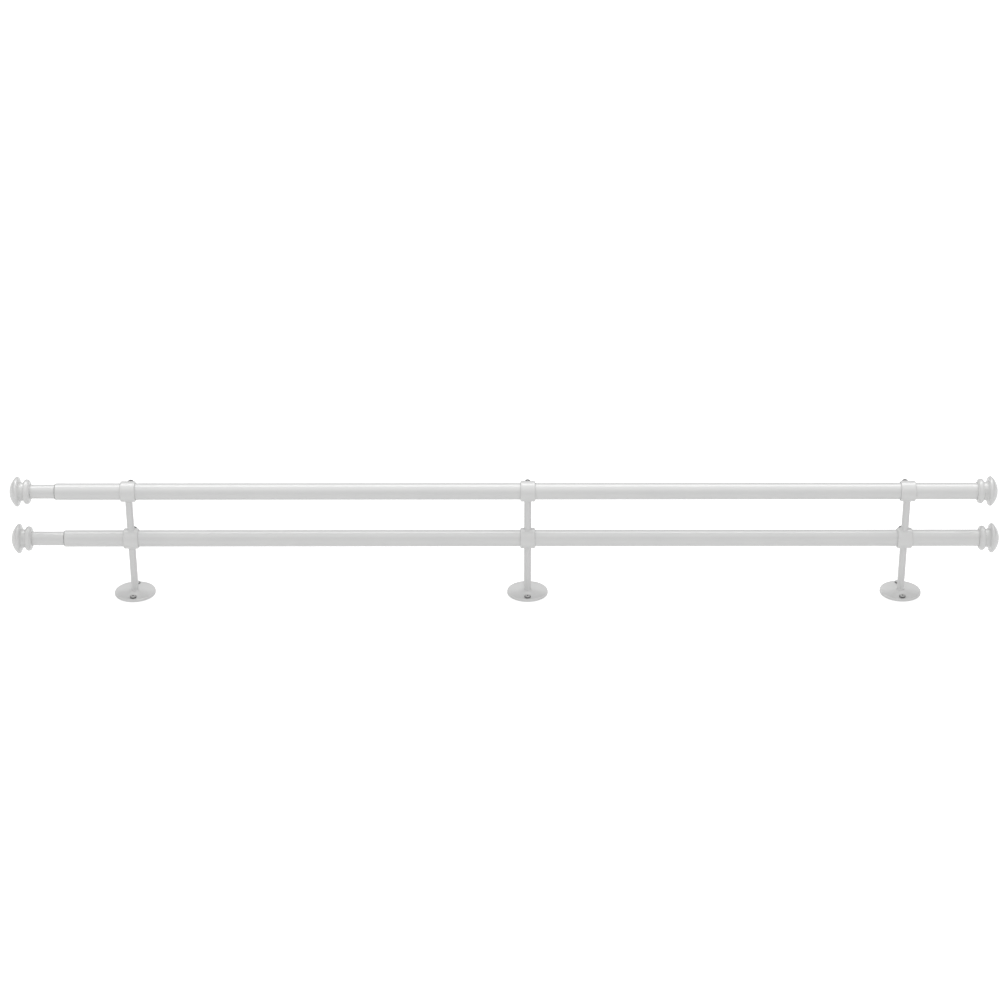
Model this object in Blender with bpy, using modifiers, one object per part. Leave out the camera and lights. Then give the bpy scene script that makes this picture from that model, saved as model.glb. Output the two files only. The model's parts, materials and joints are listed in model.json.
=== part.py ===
"""Double telescoping curtain rod on three wall brackets.

The origin is the centre of the middle bracket's back face, where it meets the wall.
+Z points away from the wall along the bracket arms, +X runs along the rods towards their
fixed ends, and the clamp screws point along +Y.
"""
import math

import bmesh
import bpy

MM = 0.001

# Fits
GAP = 0.3 * MM                      # between pieces that touch or are screwed together
RING_CLEARANCE = 0.4 * MM           # radial, a rod in its bracket ring
TELESCOPE_CLEARANCE = 0.9 * MM      # radial, the inner tube in the outer tube's bore
MOUTH_CLEARANCE = 0.3 * MM          # radial, the inner tube in the rolled mouth
CUT_MARGIN = 1.0 * MM               # how far a through hole's cutter runs past the piece

# Bracket layout
REAR_ROD_HEIGHT = 76.0 * MM         # wall to the rear rod's axis
ROD_SPACING = 64.2 * MM             # rear rod's axis to the front rod's axis
LEFT_BRACKET_INSET = 77.8 * MM      # in from the end of a rod centred on the middle bracket
RIGHT_BRACKET_INSET = 102.1 * MM

# Rods
OUTER_TUBE_DIAMETER = 20.6 * MM
OUTER_TUBE_WALL = 0.7 * MM
OUTER_TUBE_LENGTH = 1135.2 * MM
INNER_TUBE_WALL = 0.7 * MM
MOUTH_BEVEL = 0.8 * MM              # length of the taper behind the rolled mouth
FRONT_ROD_SHIFT = -11.6 * MM        # outer tube's middle, along X from the middle bracket
REAR_ROD_SHIFT = -4.7 * MM
FRONT_DRAWN_OUT = 30.4 * MM         # inner tube showing between the mouth and the finial
REAR_DRAWN_OUT = 40.1 * MM
CLOSED_ROD_CLEARANCE = 12.0 * MM    # guide plug to the far finial's plug, rod pushed shut

# Guide plug on the inner tube's hidden end
GUIDE_FLANGE_THICKNESS = 3.0 * MM
GUIDE_PLUG_LENGTH = 14.0 * MM
PLUG_CHAMFER = 1.0 * MM

# Finials: heights run along the axis from the face that the tube enters
FINIAL_LENGTH = 25.2 * MM
BEAD_LENGTH = 8.0 * MM
BEAD_RISE = 4.0 * MM                # the bead stands this far out of the neck
NECK_WALL = 1.0 * MM                # the neck is this much larger in radius than the outer tube
NECK_LENGTH = 1.2 * MM
FLANGE_RISE = 7.1 * MM              # the flange stands this far out of the neck
FLANGE_CENTRE = 16.0 * MM
FLANGE_ROUND = 2.6 * MM
SOCKET_DEPTH = 6.0 * MM
FINIAL_PLUG_LENGTH = 18.0 * MM
FINIAL_PEG_RADIUS = 3.0 * MM
FINIAL_PEG_LENGTH = 6.0 * MM

# Bracket rings
RING_LENGTH = 18.2 * MM
RING_WALL = 2.1 * MM
RING_EDGE_ROUND = 1.5 * MM

# Bracket arms
ARM_DIAMETER = 8.9 * MM
ARM_PEG_RADIUS = 2.6 * MM

# Wall plates
PLATE_DIAMETER = 50.8 * MM
PLATE_RIM_THICKNESS = 3.5 * MM
PLATE_CROWN = 0.7 * MM              # the middle stands this much above the rim
PLATE_FLAT_RADIUS = 7.0 * MM
PLATE_EDGE_ROUND = 1.1 * MM
PLATE_BACK_CHAMFER = 0.3 * MM
WALL_SCREW_INSET = 6.4 * MM         # plate's edge to a wall screw's axis
WALL_SCREW_RADIUS = 2.1 * MM
WALL_SCREW_HOLE_CLEARANCE = 0.5 * MM

# Clamp screws
CLAMP_SCREW_RADIUS = 2.0 * MM
CLAMP_SCREW_LENGTH = 14.5 * MM

# Pan heads, the same on wall screws and clamp screws
HEAD_RADIUS = 4.1 * MM
HEAD_HEIGHT = 2.1 * MM
HEAD_DOME_RADIUS = 2.6 * MM         # the nearly flat top inside the rounded shoulder
RECESS_SPAN = 4.2 * MM
RECESS_WIDTH = 1.1 * MM
RECESS_DEPTH = 1.1 * MM
TIP_CHAMFER = 0.7 * MM

# Roundness of the solids
TUBE_SEGMENTS = 24
PLATE_SEGMENTS = 32
ARM_SEGMENTS = 16
SCREW_SEGMENTS = 12

# Sizes that follow from those above
OUTER_TUBE_RADIUS = OUTER_TUBE_DIAMETER / 2
OUTER_TUBE_BORE = OUTER_TUBE_RADIUS - OUTER_TUBE_WALL
INNER_TUBE_RADIUS = OUTER_TUBE_BORE - TELESCOPE_CLEARANCE
INNER_TUBE_BORE = INNER_TUBE_RADIUS - INNER_TUBE_WALL
MOUTH_BORE = INNER_TUBE_RADIUS + MOUTH_CLEARANCE
RING_BORE = OUTER_TUBE_RADIUS + RING_CLEARANCE
RING_RADIUS = RING_BORE + RING_WALL
ARM_RADIUS = ARM_DIAMETER / 2
PLATE_RADIUS = PLATE_DIAMETER / 2
PLATE_THICKNESS = PLATE_RIM_THICKNESS + PLATE_CROWN
WALL_SCREW_CIRCLE = PLATE_RADIUS - WALL_SCREW_INSET
FRONT_ROD_HEIGHT = REAR_ROD_HEIGHT + ROD_SPACING
TUBE_IN_SOCKET = SOCKET_DEPTH - GAP
PLUG_IN_TUBE = FINIAL_PLUG_LENGTH - TUBE_IN_SOCKET
INNER_TUBE_LENGTH = (OUTER_TUBE_LENGTH - FINIAL_PLUG_LENGTH - CLOSED_ROD_CLEARANCE
                     - GUIDE_FLANGE_THICKNESS - GAP + TUBE_IN_SOCKET)
NECK_RADIUS = OUTER_TUBE_RADIUS + NECK_WALL
FLANGE_RADIUS = NECK_RADIUS + FLANGE_RISE
BRACKET_X = {
    "left": LEFT_BRACKET_INSET - OUTER_TUBE_LENGTH / 2,
    "middle": 0.0,
    "right": OUTER_TUBE_LENGTH / 2 - RIGHT_BRACKET_INSET,
}
ROD_HEIGHT = {"rear": REAR_ROD_HEIGHT, "front": FRONT_ROD_HEIGHT}
ROD_SHIFT = {"rear": REAR_ROD_SHIFT, "front": FRONT_ROD_SHIFT}
DRAWN_OUT = {"rear": REAR_DRAWN_OUT, "front": FRONT_DRAWN_OUT}

# Rotations that lay a piece's own +Z along a world direction
ALONG_X = (0.0, math.pi / 2, 0.0)
AGAINST_X = (0.0, -math.pi / 2, 0.0)
ALONG_Y = (-math.pi / 2, 0.0, 0.0)
ALONG_Z = (0.0, 0.0, 0.0)


def clear_scene():
    for thing in list(bpy.data.objects):
        bpy.data.objects.remove(thing, do_unlink=True)


def new_collection(name):
    collection = bpy.data.collections.new(name)
    bpy.context.scene.collection.children.link(collection)
    return collection


def new_material(name, color, roughness, metallic):
    material = bpy.data.materials.new(name)
    material.use_nodes = True
    shader = material.node_tree.nodes["Principled BSDF"]
    shader.inputs["Base Color"].default_value = (*color, 1.0)
    shader.inputs["Roughness"].default_value = roughness
    shader.inputs["Metallic"].default_value = metallic
    material.diffuse_color = (*color, 1.0)
    return material


def new_empty(name, location):
    empty = bpy.data.objects.new(name, None)
    empty.location = location
    empty.empty_display_size = 0.02
    PARTS.objects.link(empty)
    return empty


def place(piece, location, rotation, parent):
    piece.location = location
    piece.rotation_euler = rotation
    piece.parent = parent
    return piece


def arc(centre_r, centre_z, radius_r, radius_z, start, end, steps):
    """Points on an elliptical arc in the (r, z) plane, both ends included, angles in degrees."""
    points = []
    for step in range(steps + 1):
        angle = math.radians(start + (end - start) * step / steps)
        points.append((centre_r + radius_r * math.cos(angle), centre_z + radius_z * math.sin(angle)))
    return points


def turned(name, outline, closed, segments, material, location, rotation, parent):
    """A turned piece: an (r, z) outline swept round the piece's own Z axis.

    The outline runs down the outer side. A closed one makes a ring, and an open one starts and
    ends on the axis.
    """
    mesh = bpy.data.meshes.new(name)
    points = [(r, 0.0, z) for r, z in outline]
    edges = [(i, i + 1) for i in range(len(points) - 1)]
    if closed:
        edges.append((len(points) - 1, 0))
    mesh.from_pydata(points, edges, [])
    piece = bpy.data.objects.new(name, mesh)
    PARTS.objects.link(piece)
    mesh.materials.append(material)
    screw = piece.modifiers.new("turn", "SCREW")
    screw.axis = "Z"
    screw.angle = 2 * math.pi
    screw.steps = segments
    screw.render_steps = segments
    screw.use_merge_vertices = True
    screw.merge_threshold = 0.00001
    screw.use_smooth_shade = True
    return place(piece, location, rotation, parent)


def tool_object(name, make, location, rotation, parent):
    """A hidden solid that cuts or extends a piece; make(bm) fills its mesh."""
    mesh = bpy.data.meshes.new(name)
    bm = bmesh.new()
    make(bm)
    bm.to_mesh(mesh)
    bm.free()
    tool = bpy.data.objects.new(name, mesh)
    CUTTERS.objects.link(tool)
    tool.hide_render = True
    tool.display_type = "WIRE"
    return place(tool, location, rotation, parent)


def cylinder_tool(name, radius, low, high, segments, location, rotation, parent):
    """A cylinder on the tool's own Z axis, from low to high."""
    def make(bm):
        bmesh.ops.create_cone(bm, cap_ends=True, segments=segments,
                              radius1=radius, radius2=radius, depth=high - low)
        bmesh.ops.translate(bm, vec=(0.0, 0.0, (low + high) / 2), verts=bm.verts)
    return tool_object(name, make, location, rotation, parent)


def box_tool(name, size, location, rotation, parent):
    def make(bm):
        bmesh.ops.create_cube(bm, size=1.0)
        bmesh.ops.scale(bm, vec=size, verts=bm.verts)
    return tool_object(name, make, location, rotation, parent)


def combine(piece, tool, operation):
    modifier = piece.modifiers.new(tool.name, "BOOLEAN")
    modifier.operation = operation
    modifier.solver = "EXACT"
    modifier.object = tool


def cut(piece, tool):
    combine(piece, tool, "DIFFERENCE")


def outer_tube_outline():
    """The wall of the outer tube, its rolled mouth at z = 0."""
    roll = OUTER_TUBE_RADIUS - MOUTH_BORE
    mouth = arc(MOUTH_BORE, roll, roll, roll, 0, -90, 3)
    return [
        (OUTER_TUBE_RADIUS, OUTER_TUBE_LENGTH),
        *mouth,
        (MOUTH_BORE, roll),
        (OUTER_TUBE_BORE, roll + MOUTH_BEVEL),
        (OUTER_TUBE_BORE, OUTER_TUBE_LENGTH),
    ]


def inner_tube_outline():
    """The wall of the inner tube, its guide-plug end at z = 0."""
    return [
        (INNER_TUBE_RADIUS, INNER_TUBE_LENGTH),
        (INNER_TUBE_RADIUS, 0.0),
        (INNER_TUBE_BORE, 0.0),
        (INNER_TUBE_BORE, INNER_TUBE_LENGTH),
    ]


def guide_plug_outline():
    """The plug in the inner tube's end at z = 0, with the flange below it."""
    body = INNER_TUBE_BORE - GAP
    flange = OUTER_TUBE_BORE - GAP
    seat = -GAP
    return [
        (0.0, GUIDE_PLUG_LENGTH),
        (body - PLUG_CHAMFER, GUIDE_PLUG_LENGTH),
        (body, GUIDE_PLUG_LENGTH - PLUG_CHAMFER),
        (body, seat),
        (flange, seat),
        (flange, seat - GUIDE_FLANGE_THICKNESS),
        (0.0, seat - GUIDE_FLANGE_THICKNESS),
    ]


def finial_outline(socket_radius):
    """A turned finial: dome, flange, neck and bead, with the tube's socket at z = 0."""
    rim_centre = FLANGE_RADIUS - FLANGE_ROUND
    dome_base = FLANGE_CENTRE + FLANGE_ROUND * math.sin(math.radians(45))
    dome_edge = rim_centre + FLANGE_ROUND * math.cos(math.radians(45))
    dome_height = FINIAL_LENGTH - dome_base
    dome_radius = (dome_edge ** 2 + dome_height ** 2) / (2 * dome_height)
    dome_angle = math.degrees(math.asin(dome_edge / dome_radius))
    dome = arc(0.0, FINIAL_LENGTH - dome_radius, dome_radius, dome_radius, 90, 90 - dome_angle, 4)
    rim = arc(rim_centre, FLANGE_CENTRE, FLANGE_ROUND, FLANGE_ROUND, 45, -90, 3)
    cove_top = FLANGE_CENTRE - FLANGE_ROUND
    cove_base = BEAD_LENGTH + NECK_LENGTH
    cove = arc(rim_centre, cove_base, rim_centre - NECK_RADIUS, cove_top - cove_base, 90, 180, 2)
    bead = arc(NECK_RADIUS, BEAD_LENGTH / 2, BEAD_RISE, BEAD_LENGTH / 2, 90, -90, 4)
    peg_hole = FINIAL_PEG_RADIUS + GAP
    peg_hole_end = SOCKET_DEPTH + FINIAL_PEG_LENGTH
    return [
        (0.0, FINIAL_LENGTH),
        *dome[1:],
        *rim[1:],
        *cove[1:],
        *bead,
        (socket_radius, 0.0),
        (socket_radius, SOCKET_DEPTH),
        (peg_hole, SOCKET_DEPTH),
        (peg_hole, peg_hole_end),
        (0.0, peg_hole_end),
    ]


def finial_plug_outline(tube_bore):
    """The plug inside the tube's end, with the peg that enters the finial."""
    body = tube_bore - GAP
    shoulder = TUBE_IN_SOCKET
    peg_end = shoulder + FINIAL_PEG_LENGTH
    return [
        (0.0, peg_end),
        (FINIAL_PEG_RADIUS, peg_end),
        (FINIAL_PEG_RADIUS, shoulder),
        (body, shoulder),
        (body, -PLUG_IN_TUBE + PLUG_CHAMFER),
        (body - PLUG_CHAMFER, -PLUG_IN_TUBE),
        (0.0, -PLUG_IN_TUBE),
    ]


def ring_outline():
    """The wall of a bracket ring, centred on z = 0, its outer edges rounded."""
    end = RING_LENGTH / 2
    top = arc(RING_RADIUS - RING_EDGE_ROUND, end - RING_EDGE_ROUND,
              RING_EDGE_ROUND, RING_EDGE_ROUND, 90, 0, 2)
    bottom = arc(RING_RADIUS - RING_EDGE_ROUND, RING_EDGE_ROUND - end,
                 RING_EDGE_ROUND, RING_EDGE_ROUND, 0, -90, 2)
    return [*top, *bottom, (RING_BORE, -end), (RING_BORE, end)]


def plate_outline():
    """A wall plate round its peg hole: flat back at z = 0, crowned front with a rounded edge."""
    peg_hole = ARM_PEG_RADIUS + GAP
    edge = arc(PLATE_RADIUS - PLATE_EDGE_ROUND, PLATE_RIM_THICKNESS - PLATE_EDGE_ROUND,
               PLATE_EDGE_ROUND, PLATE_EDGE_ROUND, 90, 0, 2)
    return [
        (peg_hole, PLATE_THICKNESS),
        (PLATE_FLAT_RADIUS, PLATE_THICKNESS),
        *edge,
        (PLATE_RADIUS, PLATE_BACK_CHAMFER),
        (PLATE_RADIUS - PLATE_BACK_CHAMFER, 0.0),
        (peg_hole, 0.0),
    ]


def screw_outline(shank_radius, shank_length):
    """A pan-head screw: the head above z = 0, the shank below it."""
    shoulder = arc(HEAD_DOME_RADIUS, 0.0, HEAD_RADIUS - HEAD_DOME_RADIUS, HEAD_HEIGHT * 0.9, 90, 0, 2)
    return [
        (0.0, HEAD_HEIGHT),
        *shoulder,
        (shank_radius, 0.0),
        (shank_radius, TIP_CHAMFER - shank_length),
        (shank_radius - TIP_CHAMFER, -shank_length),
        (0.0, -shank_length),
    ]


def plate_height(radius):
    """Height of a wall plate's crowned front at a distance from its centre."""
    slope_end = PLATE_RADIUS - PLATE_EDGE_ROUND
    share = (slope_end - radius) / (slope_end - PLATE_FLAT_RADIUS)
    return PLATE_RIM_THICKNESS + PLATE_CROWN * min(1.0, share)


def build_screw(name, shank_radius, shank_length, location, rotation, parent):
    screw = turned(name, screw_outline(shank_radius, shank_length), False, SCREW_SEGMENTS,
                   STEEL, location, rotation, parent)
    recess = (RECESS_SPAN, RECESS_WIDTH, 2 * RECESS_DEPTH)
    for turn in (0, 1):
        slot = box_tool(f"{name}_recess_{turn + 1}", recess, (0.0, 0.0, HEAD_HEIGHT),
                        (0.0, 0.0, turn * math.pi / 2), screw)
        cut(screw, slot)


def build_plate(side, bracket):
    plate = turned(f"{side}_wall_plate", plate_outline(), True, PLATE_SEGMENTS, WHITE_PAINT,
                   (0.0, 0.0, 0.0), ALONG_Z, bracket)
    seat = plate_height(WALL_SCREW_CIRCLE - HEAD_RADIUS) + GAP
    half_facet = (0.0, 0.0, math.pi / SCREW_SEGMENTS)
    for number, direction in ((1, -1), (2, 1)):
        spot = (0.0, direction * WALL_SCREW_CIRCLE, 0.0)
        hole = cylinder_tool(f"{side}_wall_screw_hole_{number}",
                             WALL_SCREW_RADIUS + WALL_SCREW_HOLE_CLEARANCE, -CUT_MARGIN,
                             PLATE_THICKNESS + CUT_MARGIN, SCREW_SEGMENTS, spot, half_facet, bracket)
        cut(plate, hole)
        build_screw(f"{side}_wall_screw_{number}", WALL_SCREW_RADIUS, seat - GAP,
                    (spot[0], spot[1], seat), ALONG_Z, bracket)


def build_arm(name, foot, foot_height, peg_foot, ring_height, bracket):
    """An arm up to the ring at ring_height.

    foot is "plate" for a flat foot, or "ring" for one that is saddled over the ring below.
    foot_height is where its bare rod would start and peg_foot is its peg's lower end.
    """
    peg_top = ring_height - RING_BORE - GAP
    rod = [(0.0, ring_height), (ARM_RADIUS, ring_height), (ARM_RADIUS, foot_height), (0.0, foot_height)]
    arm = turned(name, rod, False, ARM_SEGMENTS, WHITE_PAINT, (0.0, 0.0, 0.0), ALONG_Z, bracket)
    half = RING_LENGTH / 2
    saddles = [("top", ring_height)]
    if foot == "ring":
        saddles.append(("foot", foot_height))
    for end, height in saddles:
        saddle = cylinder_tool(f"{name}_{end}_saddle", RING_RADIUS + GAP, -half, half,
                               TUBE_SEGMENTS, (0.0, 0.0, height), ALONG_X, bracket)
        cut(arm, saddle)
    peg = cylinder_tool(f"{name}_peg", ARM_PEG_RADIUS, peg_foot, peg_top, ARM_SEGMENTS,
                        (0.0, 0.0, 0.0), ALONG_Z, bracket)
    combine(arm, peg, "UNION")


def build_ring(name, height, peg_below, peg_above, bracket):
    """A ring, with a hole for each arm's peg and one for its clamp screw."""
    ring = turned(name, ring_outline(), True, TUBE_SEGMENTS, WHITE_PAINT,
                  (0.0, 0.0, height), ALONG_X, bracket)
    reach = RING_RADIUS + CUT_MARGIN
    low = -reach if peg_below else 0.0
    high = reach if peg_above else 0.0
    pegs = cylinder_tool(f"{name}_peg_holes", ARM_PEG_RADIUS + GAP, low, high, ARM_SEGMENTS,
                         (0.0, 0.0, height), ALONG_Z, bracket)
    cut(ring, pegs)
    clamp = cylinder_tool(f"{name}_clamp_hole", CLAMP_SCREW_RADIUS + GAP, 0.0, reach,
                          SCREW_SEGMENTS, (0.0, 0.0, height), ALONG_Y, bracket)
    cut(ring, clamp)


def build_bracket(side):
    bracket = new_empty(f"{side}_bracket", (BRACKET_X[side], 0.0, 0.0))
    build_plate(side, bracket)
    build_arm(f"{side}_rear_arm", "plate", PLATE_THICKNESS + GAP, 0.0, REAR_ROD_HEIGHT, bracket)
    build_ring(f"{side}_rear_ring", REAR_ROD_HEIGHT, True, True, bracket)
    build_arm(f"{side}_front_arm", "ring", REAR_ROD_HEIGHT, REAR_ROD_HEIGHT + RING_BORE + GAP,
              FRONT_ROD_HEIGHT, bracket)
    build_ring(f"{side}_front_ring", FRONT_ROD_HEIGHT, True, False, bracket)
    head_seat = OUTER_TUBE_RADIUS + GAP + CLAMP_SCREW_LENGTH
    for row in ("rear", "front"):
        build_screw(f"{side}_{row}_clamp_screw", CLAMP_SCREW_RADIUS, CLAMP_SCREW_LENGTH,
                    (0.0, head_seat, ROD_HEIGHT[row]), ALONG_Y, bracket)


def build_finial(name, socket_radius, tube_bore, face_x, direction, rod):
    """A finial whose face is at face_x along the rod, pointing along direction."""
    turned(f"{name}_cap", finial_outline(socket_radius), False, TUBE_SEGMENTS, WHITE_PAINT,
           (face_x, 0.0, 0.0), direction, rod)
    turned(f"{name}_plug", finial_plug_outline(tube_bore), False, ARM_SEGMENTS, NYLON,
           (face_x, 0.0, 0.0), direction, rod)


def build_rod(row):
    """A telescoping rod: positions along it are measured from the outer tube's mouth."""
    mouth_x = ROD_SHIFT[row] - OUTER_TUBE_LENGTH / 2
    rod = new_empty(f"{row}_rod", (mouth_x, 0.0, ROD_HEIGHT[row]))
    drawn_out = DRAWN_OUT[row]
    turned(f"{row}_outer_tube", outer_tube_outline(), True, TUBE_SEGMENTS, WHITE_PAINT,
           (0.0, 0.0, 0.0), ALONG_X, rod)
    inner_end = INNER_TUBE_LENGTH - drawn_out - TUBE_IN_SOCKET
    turned(f"{row}_inner_tube", inner_tube_outline(), True, TUBE_SEGMENTS, WHITE_PAINT,
           (inner_end, 0.0, 0.0), AGAINST_X, rod)
    turned(f"{row}_guide_plug", guide_plug_outline(), False, TUBE_SEGMENTS, NYLON,
           (inner_end, 0.0, 0.0), AGAINST_X, rod)
    build_finial(f"{row}_left_finial", INNER_TUBE_RADIUS + GAP, INNER_TUBE_BORE,
                 -drawn_out, AGAINST_X, rod)
    build_finial(f"{row}_right_finial", OUTER_TUBE_RADIUS + GAP, OUTER_TUBE_BORE,
                 OUTER_TUBE_LENGTH - TUBE_IN_SOCKET, ALONG_X, rod)


clear_scene()
PARTS = new_collection("curtain_rod_with_brackets")
CUTTERS = new_collection("cutters")
WHITE_PAINT = new_material("white_paint", (0.86, 0.86, 0.85), 0.3, 0.0)
STEEL = new_material("steel", (0.62, 0.62, 0.62), 0.28, 1.0)
NYLON = new_material("nylon", (0.78, 0.78, 0.74), 0.5, 0.0)
for bracket_side in BRACKET_X:
    build_bracket(bracket_side)
for rod_row in ROD_HEIGHT:
    build_rod(rod_row)
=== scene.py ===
"""Looks of a white double telescoping curtain rod on three wall brackets.

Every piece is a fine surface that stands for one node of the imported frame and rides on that
node's body. The axes are the frame's: +X along the rods, +Y along the clamp screws, and +Z up
the bracket arms, away from the wall that the plates are screwed to.
"""
import json
import math

import bmesh
import bpy
from mathutils import Matrix, Vector


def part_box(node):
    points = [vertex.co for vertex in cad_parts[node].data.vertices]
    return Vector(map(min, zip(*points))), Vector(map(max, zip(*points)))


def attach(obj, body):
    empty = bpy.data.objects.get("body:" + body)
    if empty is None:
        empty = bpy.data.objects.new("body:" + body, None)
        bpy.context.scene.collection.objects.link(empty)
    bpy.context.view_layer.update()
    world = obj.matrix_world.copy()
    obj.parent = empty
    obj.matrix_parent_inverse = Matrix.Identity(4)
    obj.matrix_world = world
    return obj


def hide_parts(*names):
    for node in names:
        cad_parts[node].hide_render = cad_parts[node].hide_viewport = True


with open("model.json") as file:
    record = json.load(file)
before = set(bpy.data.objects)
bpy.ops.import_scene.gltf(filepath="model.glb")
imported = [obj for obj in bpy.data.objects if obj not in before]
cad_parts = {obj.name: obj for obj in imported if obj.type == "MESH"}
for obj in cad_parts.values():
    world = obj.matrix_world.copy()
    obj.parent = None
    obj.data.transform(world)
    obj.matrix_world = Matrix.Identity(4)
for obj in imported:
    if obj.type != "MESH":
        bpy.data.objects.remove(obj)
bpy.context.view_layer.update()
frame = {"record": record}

MM = 0.001
SIDES = ("left", "middle", "right")
ROWS = ("rear", "front")


def size_of(node):
    low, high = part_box(node)
    return high - low


def centre_of(node):
    low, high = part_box(node)
    return (low + high) / 2


# Sizes read from the frame
OUTER_TUBE_RADIUS = size_of("front_outer_tube").z / 2
OUTER_TUBE_LENGTH = size_of("front_outer_tube").x
INNER_TUBE_RADIUS = size_of("front_inner_tube").z / 2
INNER_TUBE_LENGTH = size_of("front_inner_tube").x
RING_RADIUS = size_of("middle_front_ring").z / 2
RING_LENGTH = size_of("middle_front_ring").x
ARM_RADIUS = size_of("middle_rear_arm").x / 2
PLATE_RADIUS = size_of("middle_wall_plate").x / 2
PLATE_THICKNESS = size_of("middle_wall_plate").z
HEAD_RADIUS = size_of("middle_wall_screw_1").x / 2
FINIAL_LENGTH = size_of("front_right_finial_cap").x
FINIAL_RADIUS = size_of("front_right_finial_cap").z / 2
REAR_ROD_HEIGHT = centre_of("rear_outer_tube").z
FRONT_ROD_HEIGHT = centre_of("front_outer_tube").z
WALL_SCREW_CIRCLE = centre_of("middle_wall_screw_2").y

# Sizes inside the pieces, as the solids have them
GAP = 0.3 * MM
TUBE_WALL = 0.7 * MM
MOUTH_CLEARANCE = 0.3 * MM
MOUTH_BEVEL = 0.8 * MM
LIP_SHADE_SHARE = 0.88                     # share of the rolled lip painted dark as the shade in the groove round the inner tube
TUBE_EDGE = 0.15 * MM               # rounding of a tube's cut end
RING_CLEARANCE = 0.4 * MM
RING_EDGE_ROUND = 1.5 * MM
RING_BORE_CHAMFER = 0.35 * MM
ARM_PEG_RADIUS = 2.6 * MM
ARM_FILLET = 0.8 * MM               # paint-filled corner where an arm meets a ring or a plate
SEATING = 0.03 * MM                 # an arm's end sinks this far into what it is fixed to
PLATE_RIM_THICKNESS = 3.5 * MM
PLATE_EDGE_ROUND = 1.1 * MM
PLATE_BACK_CHAMFER = 0.3 * MM
WALL_SCREW_RADIUS = 2.1 * MM
WALL_SCREW_HOLE_CLEARANCE = 0.5 * MM
WALL_SCREW_PITCH = 1.2 * MM
CLAMP_SCREW_RADIUS = 2.0 * MM
CLAMP_SCREW_PITCH = 0.7 * MM
HEAD_HEIGHT = 2.1 * MM
HEAD_DOME_RADIUS = 2.6 * MM
HEAD_SHOULDER_HEIGHT = 1.89 * MM
RECESS_SPAN = 4.2 * MM
RECESS_WIDTH = 1.1 * MM
RECESS_DEPTH = 1.4 * MM
RECESS_MOUTH = (1.12, 1.06)         # the punch's span and width at its top, as shares of the nominal
RECESS_FLOOR = (0.42, 0.70)         # and at its lower end
PUNCH_STAND = 0.5 * MM              # the punch stands this far out of the head
HEAD_SKIRT_HEIGHT = 0.25 * MM       # where the head's rounded side starts
HEAD_UNDERCUT = 0.15 * MM
THREAD_DEPTH = 0.55                 # as a share of the pitch
THREAD_FLANK = 1.25                 # over 1 leaves the groove a flat floor
TIP_RADIUS = 0.3 * MM
SHADE_INNER_EDGE = 0.62               # of the head's radius, where the painted shade on the head's side starts
SHADE_OUTER_EDGE = 0.72               # and where it is full
SHADE_FADE = 0.3 * MM
# heights above the seat up to which a screw head's side is painted black as shade
CLAMP_SHADE_HEIGHT = HEAD_HEIGHT
WALL_SHADE_HEIGHT = 0.9 * MM
TIP_CHAMFER = 0.7 * MM
THREAD_RUNOUT = 0.6 * MM            # plain neck between the head and the thread
BEAD_LENGTH = 8.0 * MM
BEAD_RISE = 4.0 * MM
NECK_WALL = 1.0 * MM
NECK_LENGTH = 1.2 * MM
FLANGE_CENTRE = 16.0 * MM
FLANGE_ROUND = 2.6 * MM
SOCKET_DEPTH = 6.0 * MM
SOCKET_CHAMFER = 0.2 * MM
FINIAL_PEG_RADIUS = 3.0 * MM
FINIAL_PEG_LENGTH = 6.0 * MM
FINIAL_PEG_ROUND = 0.5 * MM
FINIAL_PLUG_LENGTH = 18.0 * MM
GUIDE_FLANGE_THICKNESS = 3.0 * MM
GUIDE_FLANGE_ROUND = 0.6 * MM
GUIDE_PLUG_LENGTH = 14.0 * MM
PLUG_CHAMFER = 1.0 * MM
PLUG_SHOULDER = 0.5 * MM            # plain length at the end of the ribs
RIB_HEIGHT = 0.7 * MM               # crush ribs along the plugs
RIB_COUNT = 10
RIB_SETBACK = 0.05 * MM             # a rib's crest lies this far inside the plug's shoulder

# Sizes that follow from those above
OUTER_TUBE_BORE = OUTER_TUBE_RADIUS - TUBE_WALL
INNER_TUBE_BORE = INNER_TUBE_RADIUS - TUBE_WALL
MOUTH_BORE = INNER_TUBE_RADIUS + MOUTH_CLEARANCE
RING_BORE = OUTER_TUBE_RADIUS + RING_CLEARANCE
NECK_RADIUS = OUTER_TUBE_RADIUS + NECK_WALL
TUBE_IN_SOCKET = SOCKET_DEPTH - GAP
CROWN_RADIUS = PLATE_RADIUS - PLATE_EDGE_ROUND

# Fineness
TUBE_SEGMENTS = 128
PLATE_SEGMENTS = 160
ARM_SEGMENTS = 64
SCREW_SEGMENTS = 48
ROWS_PER_TURN = 10
SHARP_ANGLE = math.radians(32)
CUTTER_TWIST = 0.8                  # in half facets, so that a cutter's edges miss the piece's own
WELD_DISTANCE = 0.001 * MM          # points of a cut piece nearer than this are one point

# Rotations that lay a piece's own +Z along a direction of the frame
ALONG_X = Matrix.Rotation(math.pi / 2, 4, "Y")
AGAINST_X = Matrix.Rotation(-math.pi / 2, 4, "Y")
ALONG_Y = Matrix.Rotation(-math.pi / 2, 4, "X")


# ---------------------------------------------------------------- mesh helpers

def arc(centre_r, centre_z, radius_r, radius_z, start, end, steps):
    """Points on an elliptical arc in the (r, z) plane, both ends included, angles in degrees."""
    points = []
    for step in range(steps + 1):
        angle = math.radians(start + (end - start) * step / steps)
        points.append((centre_r + radius_r * math.cos(angle), centre_z + radius_z * math.sin(angle)))
    return points


def circle(radius, height, segments):
    """A ring of points; radius and height are numbers, or functions of the angle."""
    points = []
    for i in range(segments):
        angle = 2 * math.pi * i / segments
        r = radius(angle) if callable(radius) else radius
        z = height(angle) if callable(height) else height
        points.append((r * math.cos(angle), r * math.sin(angle), z))
    return points


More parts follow.
